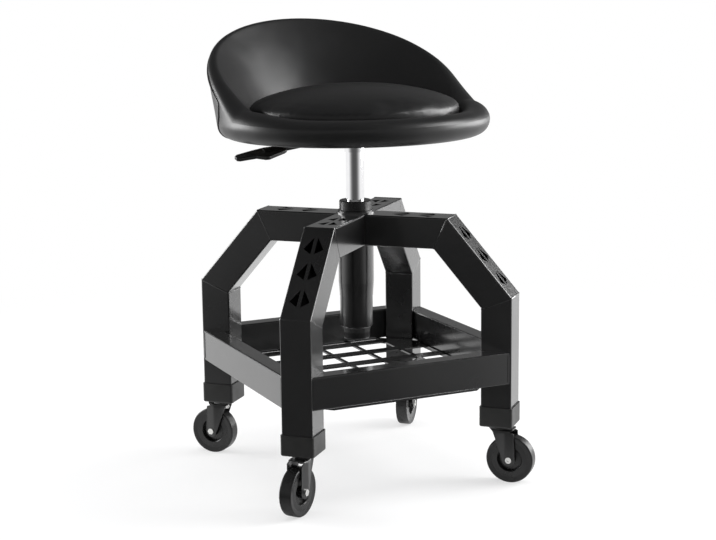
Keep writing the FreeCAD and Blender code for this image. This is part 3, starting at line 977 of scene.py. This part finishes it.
@dataclass
class CasterFork:
    """One pressed-steel fork: a crown over the wheel and two legs creased along a ridge.

    X runs along the trail from the stem, and Z is the height above the floor.
    """

    palette: Palette
    leg: Leg
    half_width: float = 12.6
    crease: float = 2.2
    crease_x: float = 12.0
    crease_reach: float = 12.0
    fold: float = 4.0
    crown_top: float = 84.0
    crown_start: float = -13.0
    crown_end: float = 24.0
    corner: float = 5.0
    sheet: float = 1.8
    axle: Point = (18.0, 36.5)
    foot_r: float = 9.3

    def build(self) -> None:
        """Makes the fork and the stem's nut."""
        fork = self._fork()
        name = self.leg.label
        self.palette.settle(fork, "fork_" + name, "fork_black", ("caster_fork_" + name,))
        self.palette.settle(self._nut(), "base", "zinc")

    def _width(self, x: float) -> float:
        """Half the fork's width at a distance along the trail, larger at the crease."""
        tent = 1.08 - math.sqrt(((x - self.crease_x) / self.crease_reach) ** 2 + 0.0064)
        return self.half_width + self.crease * min(max(0.0, tent), 1.0)

    def _profile(self) -> list[Vector]:
        """The sheet's line before it is creased.

        Returns:
            Points from one foot over the crown to the other.
        """
        top = self.crown_top - self.fold
        side = [(self.half_width, z) for z in (24.0, 36.0, 48.0, 60.0, 70.0, 76.0)]
        side += arc((self.half_width - self.fold, top), self.fold, 0.0, 90.0, 5)
        side += [((self.half_width - self.fold) * k, self.crown_top) for k in (0.75, 0.5, 0.25)]
        whole = side + [(0.0, self.crown_top)] + [(-y, z) for y, z in reversed(side)]
        return [Vector((self.crown_start, y, z)) for y, z in whole]

    def _fork(self) -> Object:
        """Draws the sheet along the trail, closest at its corners and crease, then trims and thickens it.

        Returns:
            The fork.
        """
        shape = Shape()
        bm = shape.bm
        stations = [-12.4, -11.5, -10.0, -8.0, -5.0, -2.0, 1.0, 4.0, 7.0, 9.5, 11.3, 12.7, 14.5, 17.0]
        stations += [19.0, 21.0, 22.5, 23.4, 24.0, 26.0, 28.5]
        edges = shape.wire(self._profile())
        before = self.crown_start
        for x in stations:
            made = bmesh.ops.extrude_edge_only(bm, edges=edges)["geom"]
            verts = [g for g in made if isinstance(g, bmesh.types.BMVert)]
            edges = [g for g in made if isinstance(g, bmesh.types.BMEdge)]
            edges = [e for e in edges if all(v in verts for v in e.verts)]
            bmesh.ops.translate(bm, verts=verts, vec=(x - before, 0.0, 0.0))
            before = x
        self._shape_crown(bm)
        self._cut_legs(bm)
        bmesh.ops.recalc_face_normals(bm, faces=bm.faces[:])
        crown = max(bm.faces, key=lambda f: f.calc_center_median().z)
        if crown.normal.z < 0.0:
            bmesh.ops.reverse_faces(bm, faces=bm.faces[:])
        bmesh.ops.solidify(bm, geom=bm.faces[:], thickness=self.sheet)
        bmesh.ops.transform(bm, matrix=self.leg.at_caster(), verts=bm.verts[:])
        obj = shape.finish("fork_" + self.leg.label, sharp=38.0)
        round_edges(obj, 0.35, 50.0)
        return obj

    def _shape_crown(self, bm: bmesh.types.BMesh) -> None:
        """Rounds the crown's corners and presses the crease into the sheet.

        Args:
            bm: the sheet.
        """
        r = self.corner
        for vert in bm.verts:
            x, y, z = vert.co
            if z > self.crown_top - self.fold - 0.001:
                past = max(0.0, abs(y) - (self.half_width - r))
                back = r - math.sqrt(max(0.0, r * r - past * past))
                x = min(max(x, self.crown_start + back), self.crown_end - back)
            vert.co = (x, y * self._width(x) / self.half_width, z)
        bmesh.ops.remove_doubles(bm, verts=bm.verts[:], dist=0.02)

    def _cut_legs(self, bm: bmesh.types.BMesh) -> None:
        """Trims the legs to their taper and their round feet.

        Args:
            bm: the sheet.
        """
        cx, cz = self.axle
        top = self.crown_top - self.fold
        cuts = []
        for corner_x, side in ((self.crown_start + self.corner, -1.0), (self.crown_end + 1.5, 1.0)):
            dx, dz = cx - corner_x, cz - top
            reach = math.hypot(dx, dz)
            tilt = math.atan2(dz, dx) + side * math.asin(self.foot_r / reach)
            cuts.append(((corner_x, top), tilt + side * math.pi / 2))
        first = cuts[0][1] % math.tau
        last = cuts[1][1] % math.tau + math.tau
        for n in range(1, 10):
            a = first + (last - first) * n / 10.0
            cuts.append(((cx + self.foot_r * math.cos(a), cz + self.foot_r * math.sin(a)), a))
        for (x, z), a in cuts:
            verts = [v for v in bm.verts if v.co.z < top + 0.001]
            chosen = set(verts)
            faces = [f for f in bm.faces if all(v in chosen for v in f.verts)]
            edges = [e for e in bm.edges if all(v in chosen for v in e.verts)]
            bmesh.ops.bisect_plane(
                bm, geom=verts + edges + faces, dist=0.01, plane_co=(x, 0.0, z),
                plane_no=(math.cos(a), 0.0, math.sin(a)), clear_outer=True,
            )

    def _nut(self) -> Object:
        """The bright nut that holds the fork on its stem.

        Returns:
            The nut.
        """
        shape = Shape()
        where = self.leg.at_caster() @ Matrix.Translation((0.0, 0.0, 77.3)) @ Matrix.Rotation(0.3, 4, "Z")
        bmesh.ops.create_cone(
            shape.bm, cap_ends=True, segments=6, radius1=9.0, radius2=9.0, depth=5.8, matrix=where
        )
        obj = shape.finish("stem_nut_" + self.leg.label, sharp=30.0)
        round_edges(obj, 0.6, 40.0)
        return obj


@dataclass
class FrameWelds:
    """Low weld lines where the square tubes of a leg meet, at points of (radius, height)."""

    palette: Palette
    knee: Point = (154.4, 405.5)
    knee_inner: Point = (131.65, 358.0)
    bend: Point = (253.8, 289.5)
    bend_inner: Point = (206.3, 269.8)
    proud: float = 0.35
    bead: float = 2.2

    def build(self) -> None:
        """Makes the weld lines of all four legs as one piece."""
        shape = Shape()
        for leg in Leg:
            for outer, inner in ((self.knee, self.knee_inner), (self.bend, self.bend_inner)):
                self._collar(shape, leg, outer, inner)
        obj = shape.finish("frame_welds", sharp=50.0)
        round_edges(obj, 0.5, 60.0)
        self.palette.settle(obj, "base", "frame_black")

    def _collar(self, shape: Shape, leg: Leg, outer: Point, inner: Point) -> None:
        """Adds a slab in the mitre plane that stands just proud of the tubes.

        Args:
            shape: the welds so far.
            leg: the leg.
            outer: outer corner of the mitre.
            inner: inner corner of the mitre.
        """
        across = Vector((outer[0] - inner[0], 0.0, outer[1] - inner[1]))
        length = across.length
        turn = across.to_track_quat("X", "Z").to_matrix().to_4x4()
        middle = Vector(((outer[0] + inner[0]) / 2.0, 0.0, (outer[1] + inner[1]) / 2.0))
        size = (length + 2.0 * self.proud, TUBE + 2.0 * self.proud, self.bead)
        shape.block(size, leg.at_leg() @ Matrix.Translation(middle) @ turn, 2.2, 2)


@dataclass
class Hardware:
    """The CAD nodes that stay, each with the finish of its slot."""

    palette: Palette

    def build(self) -> None:
        """Dresses every CAD node that is shown."""
        slots = {s["node"]: s["material_slot"] for s in frame["record"]["subparts"]}
        for name, obj in frame["nodes"].items():
            self.palette.dress(obj, slots[name])
        LOG.info("dressed %d CAD nodes", len(slots))


def aim(place: Triple, target: Triple) -> Matrix:
    """The pose of a camera or lamp that stands level at a place and looks at a target."""
    turn = (Vector(target) - Vector(place)).to_track_quat("-Z", "Y").to_matrix()
    return Matrix.Translation(place) @ turn.to_4x4()


@dataclass(frozen=True)
class Camera:
    """The camera: metres about the column, and pixels of the picture."""

    eye: Triple = (-1.03595, -2.22875, 0.79118)
    target: Triple = (0.0, 0.0, 0.33234)
    roll: float = -0.65
    focal: float = 1618.48
    center: Point = (355.96, 258.66)
    picture: Pair = (716.0, 540.0)
    sensor: float = 36.0

    def build(self) -> None:
        """Places the camera as the photograph's was."""
        width, height = self.picture
        data = bpy.data.cameras.new("camera")
        data.sensor_width = self.sensor
        data.lens = self.focal / width * self.sensor
        data.shift_x = (width / 2.0 - self.center[0]) / width
        data.shift_y = (self.center[1] - height / 2.0) / width
        data.clip_end = 200.0
        camera = bpy.data.objects.new("camera", data)
        level = Matrix.Translation((0.0, COLUMN_Y * MM, 0.0)) @ aim(self.eye, self.target)
        camera.matrix_world = level @ Matrix.Rotation(math.radians(self.roll), 4, "Z")
        bpy.context.scene.collection.objects.link(camera)
        bpy.context.scene.camera = camera


@dataclass(frozen=True)
class Lamp:
    """A rectangular lamp: metres and watts."""

    name: str
    place: Triple
    target: Triple
    size: Pair
    power: float
    mirrored: bool = True

    def build(self) -> None:
        """Hangs the lamp."""
        data = bpy.data.lights.new(self.name, "AREA")
        data.shape = "RECTANGLE"
        data.size, data.size_y = self.size
        data.energy = self.power
        lamp = bpy.data.objects.new(self.name, data)
        lamp.matrix_world = aim(self.place, self.target)
        lamp.visible_camera = False
        lamp.visible_glossy = self.mirrored
        bpy.context.scene.collection.objects.link(lamp)


LAMPS = (
    Lamp("overhead", (0.0, 0.2, 3.2), (0.0, 0.0, 0.0), (3.5, 3.5), 75.0, mirrored=False),
    Lamp("right_softbox", (2.4, -0.35, 0.8), (0.0, 0.0, 0.65), (2.4, 1.25), 72.0),
    Lamp("high_softbox", (1.95, -0.71, 1.85), (0.0, 0.0, 0.65), (1.3, 0.9), 36.0),
    Lamp("left_softbox", (-1.9, 1.5, 0.85), (0.0, 0.0, 0.6), (1.5, 1.0), 48.0),
)


@dataclass
class Studio:
    """Floor, lights, surroundings and camera.

    dark_side and front_side are the directions in which mirrors see a dark floor, a painted reflection, and a
    lighter room.
    """

    floor_half: float = 40000.0
    dark_side: Pair = (-0.515, -0.857)
    front_side: Pair = (-0.4216, -0.9068)
    shadow_lift: float = 0.6
    white: tuple[float, ...] = (1.0, 1.0, 1.0, 1.0)

    def build(self) -> None:
        """Makes the studio."""
        Camera().build()
        self._floor()
        self._world()
        for lamp in LAMPS:
            lamp.build()

    def _floor(self) -> None:
        """Pale paper that turns into the white background farther out and keeps the shadow near the stool.
        Farther out, mirrors see a painted reflection instead: a white glow that dims towards the camera's
        side.
        """
        graph, material = Graph.of_material("floor_paper")
        graph.tree.nodes.clear()
        x, y, _ = graph.split(graph.place())
        away = (x * x + y * y).power(0.5)
        toward = (x * self.dark_side[0] + y * self.dark_side[1]) * away.larger(0.05).power(-1.0)
        shaded = toward + away.ramp(0.7, 2.6, 0.2, 0.0)
        paper = graph.node("ShaderNodeBsdfDiffuse", [(0.86, 0.86, 0.86, 1.0)])
        white = graph.node("ShaderNodeEmission", [self.white, 1.0])
        camera, glossy = graph.rays()
        far = away.ramp(0.35, 1.5, self.shadow_lift, 1.0)
        seen = graph.blend(camera * far, paper, white)
        # Painted reflection: mirrored rays see the floor as a white glow, dimmed to a dark floor on the
        # camera's side.
        painted_reflection = graph.node("ShaderNodeEmission", [self.white, shaded.ramp(0.17, 1.0, 1.0, 0.09)])
        mirrored = graph.blend(glossy * away.ramp(0.15, 0.45), seen, painted_reflection)
        graph.show("ShaderNodeOutputMaterial", mirrored)
        shape = Shape()
        bmesh.ops.create_grid(shape.bm, x_segments=1, y_segments=1, size=self.floor_half)
        floor = shape.finish("floor", offset=0.0)
        floor.data.materials.append(material)

    def _world(self) -> None:
        """White to the camera, a dim studio above the floor to mirrors, and a plain grey room as light."""
        world = bpy.data.worlds.new("studio")
        bpy.context.scene.world = world
        world.use_nodes = True
        graph = Graph(world.node_tree)
        graph.tree.nodes.clear()
        x, y, z = graph.split(graph.node("ShaderNodeTexCoord", output="Generated"))
        toward = x * self.front_side[0] + y * self.front_side[1]
        dim = z.ramp(0.15, 0.6, 1.0, 0.0) * toward.ramp(0.2, 0.9, 0.11, 0.42) + 0.09
        camera, glossy = graph.rays()
        room = graph.node("ShaderNodeBackground", [(0.33, 0.33, 0.34, 1.0), 1.0])
        white = graph.node("ShaderNodeBackground", [self.white, 1.0])
        mirrored = graph.node("ShaderNodeBackground", [self.white, dim])
        shader = graph.blend(camera, graph.blend(glossy, room, mirrored), white)
        graph.show("ShaderNodeOutputWorld", shader)


def main() -> None:
    """Builds the scene."""
    logging.basicConfig(level=logging.INFO)
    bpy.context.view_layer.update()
    palette = Palette()
    Studio().build()
    Hardware(palette).build()
    Upholstery(palette).build()
    for leg in Leg:
        CasterFork(palette, leg).build()
    FrameWelds(palette).build()
    bpy.context.scene.view_settings.view_transform = "Standard"


if __name__ == "__main__":
    main()
